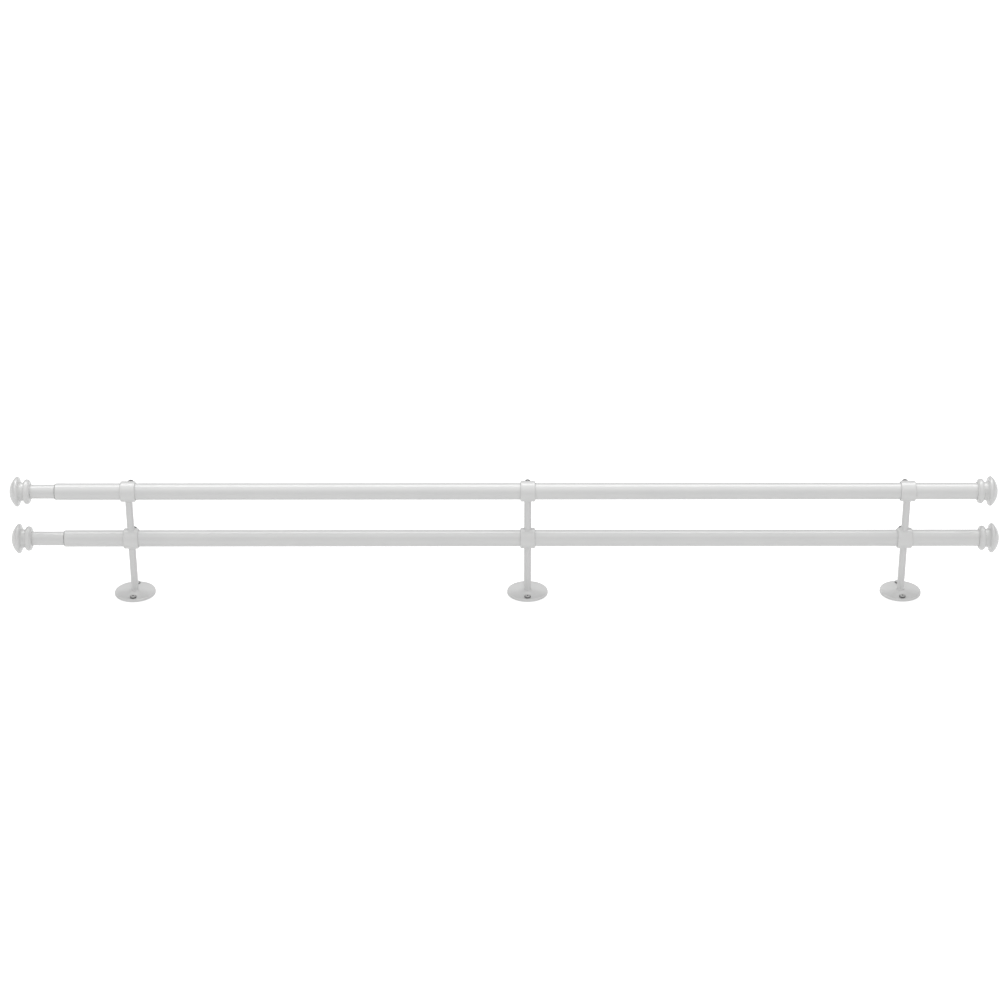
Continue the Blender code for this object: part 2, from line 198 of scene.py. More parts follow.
def skin(name, rings, closed=False):
    """A mesh over rings of points, each joined to the next. A ring of one point is a pole."""
    bm = bmesh.new()
    made = [[bm.verts.new(point) for point in ring] for ring in rings]
    pairs = list(zip(made, made[1:]))
    if closed:
        pairs.append((made[-1], made[0]))
    for low, high in pairs:
        count = max(len(low), len(high))
        for i in range(count):
            j = (i + 1) % count
            corners = [low[i % len(low)], low[j % len(low)], high[j % len(high)], high[i % len(high)]]
            bm.faces.new(list(dict.fromkeys(corners)))
    bmesh.ops.recalc_face_normals(bm, faces=bm.faces)
    mesh = bpy.data.meshes.new(name)
    bm.to_mesh(mesh)
    bm.free()
    return mesh


def turned(name, outline, segments, closed=False):
    """A mesh turned from an (r, z) outline round Z; a point with r = 0 is a pole."""
    rings = [[(0.0, 0.0, z)] if r == 0 else circle(r, z, segments) for r, z in outline]
    return skin(name, rings, closed)


def rod_mesh(radius, low, high, segments):
    """A plain cylinder on Z, for cutting, turned by CUTTER_TWIST."""
    mesh = turned("cutter", [(0.0, low), (radius, low), (radius, high), (0.0, high)], segments)
    mesh.transform(Matrix.Rotation(CUTTER_TWIST * math.pi / segments, 4, "Z"))
    return mesh


def cut(mesh, tools):
    """The mesh with each (tool mesh, matrix) taken out of it."""
    target = bpy.data.objects.new("target", mesh)
    bpy.context.scene.collection.objects.link(target)
    cutters = []
    for tool_mesh, matrix in tools:
        tool = bpy.data.objects.new("tool", tool_mesh)
        bpy.context.scene.collection.objects.link(tool)
        tool.matrix_world = matrix
        modifier = target.modifiers.new("cut", "BOOLEAN")
        modifier.operation = "DIFFERENCE"
        modifier.solver = "EXACT"
        modifier.object = tool
        cutters.append(tool)
    bpy.context.view_layer.update()
    graph = bpy.context.evaluated_depsgraph_get()
    result = bpy.data.meshes.new_from_object(target.evaluated_get(graph), depsgraph=graph)
    for thing in (target, *cutters):
        bpy.data.objects.remove(thing, do_unlink=True)
    bm = bmesh.new()
    bm.from_mesh(result)
    bmesh.ops.remove_doubles(bm, verts=bm.verts, dist=WELD_DISTANCE)
    bmesh.ops.dissolve_degenerate(bm, edges=bm.edges, dist=WELD_DISTANCE)
    bm.to_mesh(result)
    bm.free()
    return result


def smooth(mesh):
    mesh.shade_smooth()
    mesh.set_sharp_from_angle(angle=SHARP_ANGLE)
    return mesh


# ---------------------------------------------------------------- materials

class Shader:
    """A new material's node tree, with short calls for the nodes used here."""

    def __init__(self, name, color, metallic, roughness):
        self.material = bpy.data.materials.new(name)
        self.material.use_nodes = True
        self.material.diffuse_color = (*color, 1.0)
        self.tree = self.material.node_tree
        self.surface = self.tree.nodes["Principled BSDF"]
        self.surface.inputs["Base Color"].default_value = (*color, 1.0)
        self.surface.inputs["Metallic"].default_value = metallic
        self.surface.inputs["Roughness"].default_value = roughness
        self.coordinates = self.tree.nodes.new("ShaderNodeTexCoord").outputs["Object"]

    def link(self, source, target):
        self.tree.links.new(source, target)

    def stretched(self, scale):
        """The object's coordinates, scaled along each axis."""
        node = self.tree.nodes.new("ShaderNodeMapping")
        node.inputs["Scale"].default_value = scale
        self.link(self.coordinates, node.inputs["Vector"])
        return node.outputs["Vector"]

    def noise(self, scale, detail=2.0, vector=None):
        node = self.tree.nodes.new("ShaderNodeTexNoise")
        node.inputs["Scale"].default_value = scale
        node.inputs["Detail"].default_value = detail
        self.link(vector or self.coordinates, node.inputs["Vector"])
        return node.outputs["Fac"]

    def between(self, value, from_low, from_high, to_low, to_high):
        """The value mapped from one range to another, clamped."""
        node = self.tree.nodes.new("ShaderNodeMapRange")
        for socket, number in (("From Min", from_low), ("From Max", from_high),
                               ("To Min", to_low), ("To Max", to_high)):
            node.inputs[socket].default_value = number
        self.link(value, node.inputs["Value"])
        return node.outputs["Result"]

    def maths(self, operation, first, second):
        node = self.tree.nodes.new("ShaderNodeMath")
        node.operation = operation
        for socket, value in zip(node.inputs, (first, second)):
            if isinstance(value, (int, float)):
                socket.default_value = value
            else:
                self.link(value, socket)
        return node.outputs["Value"]

    def blend(self, share, first, second):
        """A colour between two colours, or between a colour socket and a colour."""
        node = self.tree.nodes.new("ShaderNodeMix")
        node.data_type = "RGBA"
        self.link(share, node.inputs["Factor"])
        for socket, color in ((node.inputs[6], first), (node.inputs[7], second)):
            if isinstance(color, tuple):
                socket.default_value = (*color, 1.0)
            else:
                self.link(color, socket)
        return node.outputs[2]

    def edges(self, low, high):
        """0 on flat and hollow surfaces, 1 on outer edges."""
        geometry = self.tree.nodes.new("ShaderNodeNewGeometry")
        return self.between(geometry.outputs["Pointiness"], low, high, 0.0, 1.0)

    def from_axis(self):
        """Distance from the piece's own Z axis, in metres."""
        split = self.tree.nodes.new("ShaderNodeSeparateXYZ")
        self.link(self.coordinates, split.inputs["Vector"])
        squares = [self.maths("MULTIPLY", split.outputs[a], split.outputs[a]) for a in ("X", "Y")]
        return self.maths("POWER", self.maths("ADD", *squares), 0.5)

    def height(self):
        split = self.tree.nodes.new("ShaderNodeSeparateXYZ")
        self.link(self.coordinates, split.inputs["Vector"])
        return split.outputs["Z"]

    def color(self, socket):
        self.link(socket, self.surface.inputs["Base Color"])

    def roughness(self, socket):
        self.link(socket, self.surface.inputs["Roughness"])

    def bump(self, layers):
        """Bump layers of (height, depth in metres), each on top of the last."""
        normal = None
        for height, depth in layers:
            node = self.tree.nodes.new("ShaderNodeBump")
            node.inputs["Strength"].default_value = 1.0
            node.inputs["Distance"].default_value = depth
            self.link(height, node.inputs["Height"])
            if normal is not None:
                self.link(normal, node.inputs["Normal"])
            normal = node.outputs["Normal"]
        self.link(normal, self.surface.inputs["Normal"])


def powder_coat(name, rub):
    """White gloss powder coat: orange peel, faint tone drift, thin on edges.

    rub is how much sliding has dulled it in fine lines along the piece's Z axis.
    """
    shader = Shader(name, (0.80, 0.80, 0.795), 0.0, 0.3)
    drift = shader.between(shader.noise(14.0, 3.0), 0.3, 0.7, 0.0, 1.0)
    tone = shader.blend(drift, (0.785, 0.787, 0.785), (0.815, 0.815, 0.808))
    worn = shader.maths("MULTIPLY", shader.edges(0.56, 0.66), shader.noise(500.0, 3.0))
    shader.color(shader.blend(worn, tone, (0.66, 0.665, 0.67)))
    lines = shader.noise(1.0, 4.0, shader.stretched((2600.0, 2600.0, 14.0)))
    gloss = shader.between(shader.noise(120.0, 2.0), 0.3, 0.7, 0.285, 0.32)
    scuffs = shader.between(lines, 0.55, 0.75, 0.0, rub)
    shader.roughness(shader.maths("ADD", gloss, scuffs))
    peel = shader.noise(620.0, 1.5)
    grain = shader.noise(2400.0, 2.0)
    shader.bump([(peel, 0.006 * MM), (grain, 0.0015 * MM)])
    shader.surface.inputs["IOR"].default_value = 1.6
    shader.surface.inputs["Coat Weight"].default_value = 1.0
    shader.surface.inputs["Coat Roughness"].default_value = 0.2
    return shader.material


def moulded_resin():
    """White gloss resin of the finials: smoother than the paint, with faint flow marks."""
    shader = Shader("white_resin", (0.80, 0.80, 0.79), 0.0, 0.25)
    drift = shader.between(shader.noise(40.0, 3.0), 0.3, 0.7, 0.0, 1.0)
    tone = shader.blend(drift, (0.785, 0.787, 0.784), (0.812, 0.812, 0.804))
    rubbed = shader.edges(0.54, 0.64)
    shader.color(shader.blend(rubbed, tone, (0.83, 0.83, 0.825)))
    flow = shader.noise(1.0, 3.0, shader.stretched((60.0, 60.0, 900.0)))
    shader.roughness(shader.between(flow, 0.3, 0.7, 0.22, 0.30))
    shader.bump([(shader.noise(300.0, 1.0), 0.006 * MM), (shader.noise(1800.0, 2.0), 0.0015 * MM)])
    shader.surface.inputs["IOR"].default_value = 1.6
    shader.surface.inputs["Coat Weight"].default_value = 1.0
    shader.surface.inputs["Coat Roughness"].default_value = 0.15
    return shader.material


def plated_steel(name, shade_height, upper_shade):
    """Zinc-plated screw steel: bright flat top, and black painted shade on the head's side and in its
    cross.

    The painted shade is full up to shade_height above the seat, and upper_shade of it is left further up.
    """
    shader = Shader(name, (0.78, 0.78, 0.78), 0.45, 0.35)
    radius = shader.from_axis()
    outside = shader.between(radius, SHADE_INNER_EDGE * HEAD_RADIUS, SHADE_OUTER_EDGE * HEAD_RADIUS, 0.0, 1.0)
    side_shade = shader.between(shader.height(), shade_height - SHADE_FADE, shade_height + SHADE_FADE, 1.0, upper_shade)
    rim = shader.maths("MULTIPLY", outside, side_shade)
    head = shader.between(shader.height(), -0.2 * MM, 0.1 * MM, 0.0, 1.0)
    below_top = (HEAD_HEIGHT - 0.6 * MM, HEAD_HEIGHT - 0.3 * MM)
    recess = shader.between(shader.height(), *below_top, 1.0, 0.0)
    core = shader.between(radius, 0.5 * RECESS_SPAN, 0.6 * RECESS_SPAN, 1.0, 0.0)
    recess_shade = shader.maths("MULTIPLY", recess, core)
    # painted shade: near black on the head's side and in the cross recess, where the head lies in shade
    dark = shader.maths("MULTIPLY", head, shader.maths("MAXIMUM", rim, recess_shade))
    blotch = shader.blend(shader.noise(700.0, 3.0), (0.70, 0.70, 0.70), (0.84, 0.84, 0.83))
    shader.color(shader.blend(dark, blotch, (0.03, 0.03, 0.032)))
    rings = shader.noise(1.0, 2.0, shader.maths("MULTIPLY", radius, 9000.0))
    shader.roughness(shader.between(rings, 0.3, 0.7, 0.26, 0.44))
    shader.bump([(rings, 0.006 * MM)])
    return shader.material


def bore_steel_and_lip_shade():
    """Bare cut steel inside the tubes: dark, dull, drawn lengthwise. On the outer tubes' rolled lips the
    same dark colour is painted shade for the groove round the inner tube.
    """
    shader = Shader("bore_steel_and_lip_shade", (0.20, 0.20, 0.205), 0.85, 0.5)
    drawn = shader.noise(1.0, 4.0, shader.stretched((1800.0, 1800.0, 6.0)))
    shader.color(shader.blend(drawn, (0.06, 0.06, 0.063), (0.18, 0.18, 0.185)))
    shader.roughness(shader.between(drawn, 0.3, 0.7, 0.42, 0.60))
    shader.bump([(drawn, 0.008 * MM)])
    return shader.material


def nylon():
    """Natural nylon: milky, dull, with moulding grain."""
    shader = Shader("nylon", (0.74, 0.735, 0.69), 0.0, 0.5)
    cloud = shader.noise(160.0, 3.0)
    shader.color(shader.blend(cloud, (0.70, 0.695, 0.645), (0.78, 0.775, 0.735)))
    shader.roughness(shader.between(shader.noise(900.0, 3.0), 0.3, 0.7, 0.44, 0.58))
    shader.bump([(shader.noise(1500.0, 3.0), 0.010 * MM)])
    shader.surface.inputs["Subsurface Weight"].default_value = 0.2
    shader.surface.inputs["Subsurface Scale"].default_value = 2.0 * MM
    return shader.material


PAINT = powder_coat("white_powder_coat", 0.0)
SLIDING_PAINT = powder_coat("white_powder_coat_scuffed", 0.12)
RESIN = moulded_resin()
# each screw's head is painted black as shade on its side and in its cross
CLAMP_STEEL = plated_steel("clamp_screw_steel", CLAMP_SHADE_HEIGHT, 1.0)
WALL_STEEL = plated_steel("wall_screw_steel", WALL_SHADE_HEIGHT, 0.45)
BORE_STEEL_AND_LIP_SHADE = bore_steel_and_lip_shade()
NYLON = nylon()


# ---------------------------------------------------------------- the pieces' meshes

def bare_bore_and_lip_shade(mesh, radius):
    """Marks the faces within radius of the axis for the mesh's second material: raw steel in the bore, and
    painted shade on the outer tube's rolled lip.
    """
    for face in mesh.polygons:
        if math.hypot(face.center.x, face.center.y) < radius:
            face.material_index = 1
    return mesh


def outer_tube_mesh():
    """The outer tube with its mouth at z = 0: the lip is rolled in round the inner tube, and most of the
    lip is painted dark as shade.
    """
    roll = OUTER_TUBE_RADIUS - MOUTH_BORE
    outline = [
        *arc(MOUTH_BORE, roll, roll, roll, -90, 0, 16),
        *arc(OUTER_TUBE_RADIUS - TUBE_EDGE, OUTER_TUBE_LENGTH - TUBE_EDGE, TUBE_EDGE, TUBE_EDGE, 0, 90, 4),
        *arc(OUTER_TUBE_BORE + TUBE_EDGE, OUTER_TUBE_LENGTH - TUBE_EDGE, TUBE_EDGE, TUBE_EDGE, 90, 180, 4),
        (OUTER_TUBE_BORE, roll + MOUTH_BEVEL),
        (MOUTH_BORE, roll),
    ]
    mesh = turned("outer_tube", outline, TUBE_SEGMENTS, closed=True)
    # the bore is bare steel; the rolled lip gets the same dark colour as painted shade
    return bare_bore_and_lip_shade(mesh, MOUTH_BORE + LIP_SHADE_SHARE * roll)


def inner_tube_mesh():
    """The inner tube, its hidden end at z = 0, both cut edges lightly rounded."""
    outline = [
        *arc(INNER_TUBE_RADIUS - TUBE_EDGE, TUBE_EDGE, TUBE_EDGE, TUBE_EDGE, -90, 0, 4),
        *arc(INNER_TUBE_RADIUS - TUBE_EDGE, INNER_TUBE_LENGTH - TUBE_EDGE, TUBE_EDGE, TUBE_EDGE, 0, 90, 4),
        *arc(INNER_TUBE_BORE + TUBE_EDGE, INNER_TUBE_LENGTH - TUBE_EDGE, TUBE_EDGE, TUBE_EDGE, 90, 180, 4),
        *arc(INNER_TUBE_BORE + TUBE_EDGE, TUBE_EDGE, TUBE_EDGE, TUBE_EDGE, 180, 270, 4),
    ]
    mesh = turned("inner_tube", outline, TUBE_SEGMENTS, closed=True)
    return bare_bore_and_lip_shade(mesh, INNER_TUBE_BORE + TUBE_WALL / 4)


def finial_cap_mesh(socket_radius):
    """Dome, flange, cove, neck and bead, with the tube's socket at z = 0."""
    rim_centre = FINIAL_RADIUS - FLANGE_ROUND
    dome_base = FLANGE_CENTRE + FLANGE_ROUND * math.sin(math.radians(45))
    dome_edge = rim_centre + FLANGE_ROUND * math.cos(math.radians(45))
    dome_height = FINIAL_LENGTH - dome_base
    dome_radius = (dome_edge ** 2 + dome_height ** 2) / (2 * dome_height)
    dome_angle = math.degrees(math.asin(dome_edge / dome_radius))
    cove_base = BEAD_LENGTH + NECK_LENGTH
    cove_rise = FLANGE_CENTRE - FLANGE_ROUND - cove_base
    peg_hole = FINIAL_PEG_RADIUS + GAP
    peg_hole_end = SOCKET_DEPTH + FINIAL_PEG_LENGTH
    outline = [
        (0.0, peg_hole_end),
        (peg_hole, peg_hole_end),
        (peg_hole, SOCKET_DEPTH),
        (socket_radius, SOCKET_DEPTH),
        (socket_radius, SOCKET_CHAMFER),
        (socket_radius + SOCKET_CHAMFER, 0.0),
        *arc(NECK_RADIUS, BEAD_LENGTH / 2, BEAD_RISE, BEAD_LENGTH / 2, -90, 90, 32),
        *arc(rim_centre, cove_base, rim_centre - NECK_RADIUS, cove_rise, 180, 90, 20),
        *arc(rim_centre, FLANGE_CENTRE, FLANGE_ROUND, FLANGE_ROUND, -90, 45, 18)[1:],
        *arc(0.0, FINIAL_LENGTH - dome_radius, dome_radius, dome_radius, 90 - dome_angle, 90, 28)[1:-1],
        (0.0, FINIAL_LENGTH),
    ]
    return turned("finial_cap", outline, TUBE_SEGMENTS)


def ribbed(radius, depth):
    """A radius that runs over crush ribs: full on each rib, less by depth between them."""
    def at(angle):
        ridge = max(0.0, math.cos(RIB_COUNT * angle))
        return radius - RIB_SETBACK - depth * (1 - ridge ** 0.5)
    return at


def plug_rings(body, low, high):
    """Rings of a ribbed plug body from its chamfered end at low to its shoulder at high."""
    return [
        [(0.0, 0.0, low)],
        circle(body - PLUG_CHAMFER, low, TUBE_SEGMENTS),
        circle(ribbed(body, RIB_HEIGHT), low + PLUG_CHAMFER, TUBE_SEGMENTS),
        circle(ribbed(body, RIB_HEIGHT), high - PLUG_SHOULDER, TUBE_SEGMENTS),
        circle(body, high - PLUG_SHOULDER, TUBE_SEGMENTS),
        circle(body, high, TUBE_SEGMENTS),
    ]


def finial_plug_mesh(tube_bore):
    """The plug in the tube's end, with the peg that enters the finial."""
    rings = plug_rings(tube_bore - GAP, TUBE_IN_SOCKET - FINIAL_PLUG_LENGTH, TUBE_IN_SOCKET)
    peg_end = TUBE_IN_SOCKET + FINIAL_PEG_LENGTH
    edge = FINIAL_PEG_ROUND
    peg = arc(FINIAL_PEG_RADIUS - edge, peg_end - edge, edge, edge, 0, 90, 6)
    rings.append(circle(FINIAL_PEG_RADIUS, TUBE_IN_SOCKET, TUBE_SEGMENTS))
    rings += [circle(r, z, TUBE_SEGMENTS) for r, z in peg]
    rings.append([(0.0, 0.0, peg_end)])
    return skin("finial_plug", rings)


def guide_plug_mesh():
    """The plug in the inner tube's hidden end, its rounded flange below z = 0."""
    flange = OUTER_TUBE_BORE - GAP
    foot = -GAP - GUIDE_FLANGE_THICKNESS
    edge = GUIDE_FLANGE_ROUND
    rim = [
        *arc(flange - edge, foot + edge, edge, edge, -90, 0, 6),
        *arc(flange - edge, -GAP - edge, edge, edge, 0, 90, 6),
    ]
    rings = [[(0.0, 0.0, foot)]]
    rings += [circle(r, z, TUBE_SEGMENTS) for r, z in rim]
    body = INNER_TUBE_BORE - GAP
    rings += [
        circle(body, -GAP, TUBE_SEGMENTS),
        circle(body, PLUG_SHOULDER, TUBE_SEGMENTS),
        circle(ribbed(body, RIB_HEIGHT), PLUG_SHOULDER, TUBE_SEGMENTS),
        circle(ribbed(body, RIB_HEIGHT), GUIDE_PLUG_LENGTH - PLUG_CHAMFER, TUBE_SEGMENTS),
        circle(body - PLUG_CHAMFER, GUIDE_PLUG_LENGTH, TUBE_SEGMENTS),
        [(0.0, 0.0, GUIDE_PLUG_LENGTH)],
    ]
    return skin("guide_plug", rings)


def ring_mesh(peg_above):
    """A bracket ring round z = 0 with its holes; the frame's +Z is its own -X."""
    end = RING_LENGTH / 2
    edge = RING_EDGE_ROUND
    inner = RING_BORE_CHAMFER
    steps = 10
    outline = [
        (RING_BORE, inner - end),
        (RING_BORE + inner, -end),
        *arc(RING_RADIUS - edge, edge - end, edge, edge, -90, 0, 10),
    ]
    span = 2 * (end - edge)
    outline += [(RING_RADIUS, edge - end + span * i / steps) for i in range(1, steps)]
    outline += [
        *arc(RING_RADIUS - edge, end - edge, edge, edge, 0, 90, 10),
        (RING_BORE + inner, end),
        (RING_BORE, end - inner),
    ]
    mesh = turned("ring", outline, TUBE_SEGMENTS, closed=True)
    reach = 2 * RING_RADIUS
    pegs = rod_mesh(ARM_PEG_RADIUS + GAP, -reach, reach if peg_above else 0.0, ARM_SEGMENTS)
    clamp = rod_mesh(CLAMP_SCREW_RADIUS + GAP, 0.0, reach, SCREW_SEGMENTS)
    lay = ALONG_X.inverted()
    return cut(mesh, [(pegs, lay), (clamp, lay @ ALONG_Y)])


def plate_height(radius):
    """Height of a wall plate's crowned front at a distance from its centre."""
    return PLATE_THICKNESS - (PLATE_THICKNESS - PLATE_RIM_THICKNESS) * (radius / CROWN_RADIUS) ** 2


def plate_mesh():
    """A wall plate: flat back at z = 0, crowned front, rounded rim, and its three holes."""
    rim_z = PLATE_RIM_THICKNESS - PLATE_EDGE_ROUND
    rim = arc(CROWN_RADIUS, rim_z, PLATE_EDGE_ROUND, PLATE_EDGE_ROUND, 0, 90, 14)
    steps = 16
    peg_hole = ARM_PEG_RADIUS + GAP
    front = [CROWN_RADIUS + (peg_hole - CROWN_RADIUS) * i / steps for i in range(1, steps + 1)]
    outline = [
        (peg_hole, 0.0),
        (PLATE_RADIUS - PLATE_BACK_CHAMFER, 0.0),
        (PLATE_RADIUS, PLATE_BACK_CHAMFER),
        *rim,
        *[(r, plate_height(r)) for r in front],
    ]
    mesh = turned("wall_plate", outline, PLATE_SEGMENTS, closed=True)
    hole = rod_mesh(WALL_SCREW_RADIUS + WALL_SCREW_HOLE_CLEARANCE, -MM, 2 * PLATE_THICKNESS, SCREW_SEGMENTS)
    spots = [Matrix.Translation((0.0, side * WALL_SCREW_CIRCLE, 0.0)) for side in (-1, 1)]
    return cut(mesh, [(hole, spot) for spot in spots])


def saddle(height, side):
    """The surface of the ring with its axis at height: its top if side is 1, its underside if -1."""
    def at(radius):
        def z(angle):
            across = radius * math.sin(angle)
            return height + side * (math.sqrt(RING_RADIUS ** 2 - across ** 2) - SEATING)
        return z
    return at


def flat(height):
    def at(radius):
        return lambda angle: plate_height(radius) + height
    return at


def arm_end(surface, side, peg_end):
    """Rings of an arm's end from its peg out to the bare rod: the peg, the seat, the fillet.

    side is 1 where the rod stands above the surface, and -1 where it hangs below it.
    """
    seat = surface(ARM_PEG_RADIUS)
    rings = [
        [(0.0, 0.0, peg_end)],
        circle(ARM_PEG_RADIUS, peg_end, ARM_SEGMENTS),
        circle(ARM_PEG_RADIUS, seat, ARM_SEGMENTS),
    ]
    steps = 8
    for step in range(steps + 1):
        turn = math.radians(90 * (1 - step / steps))
        radius = ARM_RADIUS + ARM_FILLET * (1 - math.cos(turn))
        rise = side * ARM_FILLET * (1 - math.sin(turn))
        base = surface(radius)
        rings.append(circle(radius, lambda a, base=base, rise=rise: base(a) + rise, ARM_SEGMENTS))
    return rings


def arm_mesh(foot, foot_peg_end, ring_height):
    """An arm from its foot's surface up to the ring at ring_height."""
    top_peg_end = ring_height - RING_BORE - GAP
    low = arm_end(foot, 1, foot_peg_end)
    high = arm_end(saddle(ring_height, -1), -1, top_peg_end)
    return skin("arm", low + high[::-1])


def recess_cutter():
    """A cross-shaped punch that tapers down into the head, its top above z = 0."""
    rings = []
    for z, (along, across) in ((PUNCH_STAND, RECESS_MOUTH), (-RECESS_DEPTH, RECESS_FLOOR)):
        reach = RECESS_SPAN / 2 * along
        half = RECESS_WIDTH / 2 * across
        ring = []
        for quarter in range(4):
            turn = Matrix.Rotation(quarter * math.pi / 2, 3, "Z")
            corners = ((reach, -half, z), (reach, half, z), (half, half, z))
            ring += [tuple(turn @ Vector(corner)) for corner in corners]
        rings.append(ring)
    return skin("recess", [[(0.0, 0.0, PUNCH_STAND)], *rings, [(0.0, 0.0, -RECESS_DEPTH)]])


def screw_mesh(shank_radius, shank_length, pitch):
    """A pan-head screw with a cross recess and a rolled thread, its head above z = 0."""
    head = [(0.0, HEAD_HEIGHT)]
    steps = 8
    for step in range(1, steps + 1):
        r = HEAD_DOME_RADIUS * step / steps
        drop = (HEAD_HEIGHT - HEAD_SHOULDER_HEIGHT) * (step / steps) ** 2
        head.append((r, HEAD_HEIGHT - drop))
    head += arc(HEAD_DOME_RADIUS, HEAD_SKIRT_HEIGHT, HEAD_RADIUS - HEAD_DOME_RADIUS,
                HEAD_SHOULDER_HEIGHT - HEAD_SKIRT_HEIGHT, 90, 0, 14)[1:]
    head += [(HEAD_RADIUS - HEAD_UNDERCUT, 0.0), (shank_radius, 0.0)]
    rings = [[(0.0, 0.0, z)] if r == 0 else circle(r, z, SCREW_SEGMENTS) for r, z in head]
    depth = THREAD_DEPTH * pitch
    rows = int(shank_length / pitch * ROWS_PER_TURN)
    for row in range(1, rows + 1):
        down = shank_length * row / rows
        from_head = min(1.0, max(0.0, (down - THREAD_RUNOUT / 2) / THREAD_RUNOUT))
        at_tip = max(0.0, TIP_CHAMFER - (shank_length - down))

        def radius(angle, down=down, from_head=from_head, at_tip=at_tip):
            turn = (down / pitch + angle / (2 * math.pi)) % 1.0
            groove = depth * min(1.0, THREAD_FLANK * abs(2 * turn - 1)) * from_head
            return max(TIP_RADIUS, min(shank_radius - groove, shank_radius - at_tip))
        rings.append(circle(radius, -down, SCREW_SEGMENTS))
    rings.append([(0.0, 0.0, -shank_length)])
    mesh = skin("screw", rings)
    return cut(mesh, [(recess_cutter(), Matrix.Translation((0.0, 0.0, HEAD_HEIGHT)))])


# ---------------------------------------------------------------- placing them

# Where each screw happened to stop turning, in degrees: a start, and steps from one to the next
CLAMP_SCREW_TURN, CLAMP_SCREW_STEP = 20, 35
WALL_SCREW_TURN, WALL_SCREW_STEP, WALL_SCREW_PAIR_STEP = 10, 25, 40

BODY_OF = {}
for body, nodes in frame["record"]["behaviour"]["bodies"].items():
    for node in nodes:
        BODY_OF[node] = body


def stand_for(node, mesh, materials, place):
    """Shows a copy of the mesh at place instead of the CAD node, on that node's body."""
    own = mesh.copy()
    own.name = f"{node}_fine"
    for material in materials:
        own.materials.append(material)
    smooth(own)
    piece = bpy.data.objects.new(f"{node}_fine", own)
    bpy.context.scene.collection.objects.link(piece)
    piece.matrix_world = place
    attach(piece, BODY_OF[node])
    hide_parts(node)
    return piece


def build_brackets():
    plate = plate_mesh()
    rear_arm = arm_mesh(flat(-SEATING), 0.0, REAR_ROD_HEIGHT)
    rear_peg_end = REAR_ROD_HEIGHT + RING_BORE + GAP
    front_arm = arm_mesh(saddle(REAR_ROD_HEIGHT, 1), rear_peg_end, FRONT_ROD_HEIGHT)
    rings = {"rear": ring_mesh(True), "front": ring_mesh(False)}
    shank = size_of("middle_wall_screw_1").z - HEAD_HEIGHT
    wall_screw = screw_mesh(WALL_SCREW_RADIUS, shank, WALL_SCREW_PITCH)
    shank = size_of("middle_rear_clamp_screw").y - HEAD_HEIGHT
    clamp_screw = screw_mesh(CLAMP_SCREW_RADIUS, shank, CLAMP_SCREW_PITCH)
    for number, side in enumerate(SIDES):
        centre = centre_of(f"{side}_wall_plate")
        foot = Matrix.Translation((centre.x, centre.y, 0.0))
        stand_for(f"{side}_wall_plate", plate, [PAINT], foot)
        stand_for(f"{side}_rear_arm", rear_arm, [PAINT], foot)
        stand_for(f"{side}_front_arm", front_arm, [PAINT], foot)
        for row in ROWS:
            ring = f"{side}_{row}_ring"
            stand_for(ring, rings[row], [PAINT],
                      Matrix.Translation(centre_of(ring)) @ ALONG_X)
            screw = f"{side}_{row}_clamp_screw"
            low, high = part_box(screw)
            seat = Vector(((low.x + high.x) / 2, high.y - HEAD_HEIGHT, (low.z + high.z) / 2))
            turn = CLAMP_SCREW_TURN + CLAMP_SCREW_STEP * number
            twist = Matrix.Rotation(math.radians(turn), 4, "Z")
            stand_for(screw, clamp_screw, [CLAMP_STEEL], Matrix.Translation(seat) @ ALONG_Y @ twist)
        for which in (1, 2):
            screw = f"{side}_wall_screw_{which}"
            low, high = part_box(screw)
            seat = Vector(((low.x + high.x) / 2, (low.y + high.y) / 2, high.z - HEAD_HEIGHT))
            turn = WALL_SCREW_TURN + WALL_SCREW_STEP * number + WALL_SCREW_PAIR_STEP * which
            twist = Matrix.Rotation(math.radians(turn), 4, "Z")
            stand_for(screw, wall_screw, [WALL_STEEL], Matrix.Translation(seat) @ twist)


def build_rods():
    outer = outer_tube_mesh()
    inner = inner_tube_mesh()
    guide = guide_plug_mesh()
    ends = {
        "left": (finial_cap_mesh(INNER_TUBE_RADIUS + GAP), finial_plug_mesh(INNER_TUBE_BORE), AGAINST_X),
        "right": (finial_cap_mesh(OUTER_TUBE_RADIUS + GAP), finial_plug_mesh(OUTER_TUBE_BORE), ALONG_X),
    }
    for row in ROWS:
        low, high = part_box(f"{row}_outer_tube")
        axis = Vector((0.0, (low.y + high.y) / 2, (low.z + high.z) / 2))
        mouth = Matrix.Translation(axis + Vector((low.x, 0.0, 0.0)))
        stand_for(f"{row}_outer_tube", outer, [PAINT, BORE_STEEL_AND_LIP_SHADE], mouth @ ALONG_X)
        hidden = Matrix.Translation(axis + Vector((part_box(f"{row}_inner_tube")[1].x, 0.0, 0.0)))
        stand_for(f"{row}_inner_tube", inner, [SLIDING_PAINT, BORE_STEEL_AND_LIP_SHADE], hidden @ AGAINST_X)
        stand_for(f"{row}_guide_plug", guide, [NYLON], hidden @ AGAINST_X)
        for side, (cap, plug, turn) in ends.items():
            low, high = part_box(f"{row}_{side}_finial_cap")
            face = high.x if side == "left" else low.x
            place = Matrix.Translation(axis + Vector((face, 0.0, 0.0))) @ turn
            stand_for(f"{row}_{side}_finial_cap", cap, [RESIN], place)
            stand_for(f"{row}_{side}_finial_plug", plug, [NYLON], place)


# ---------------------------------------------------------------- stage, light and camera

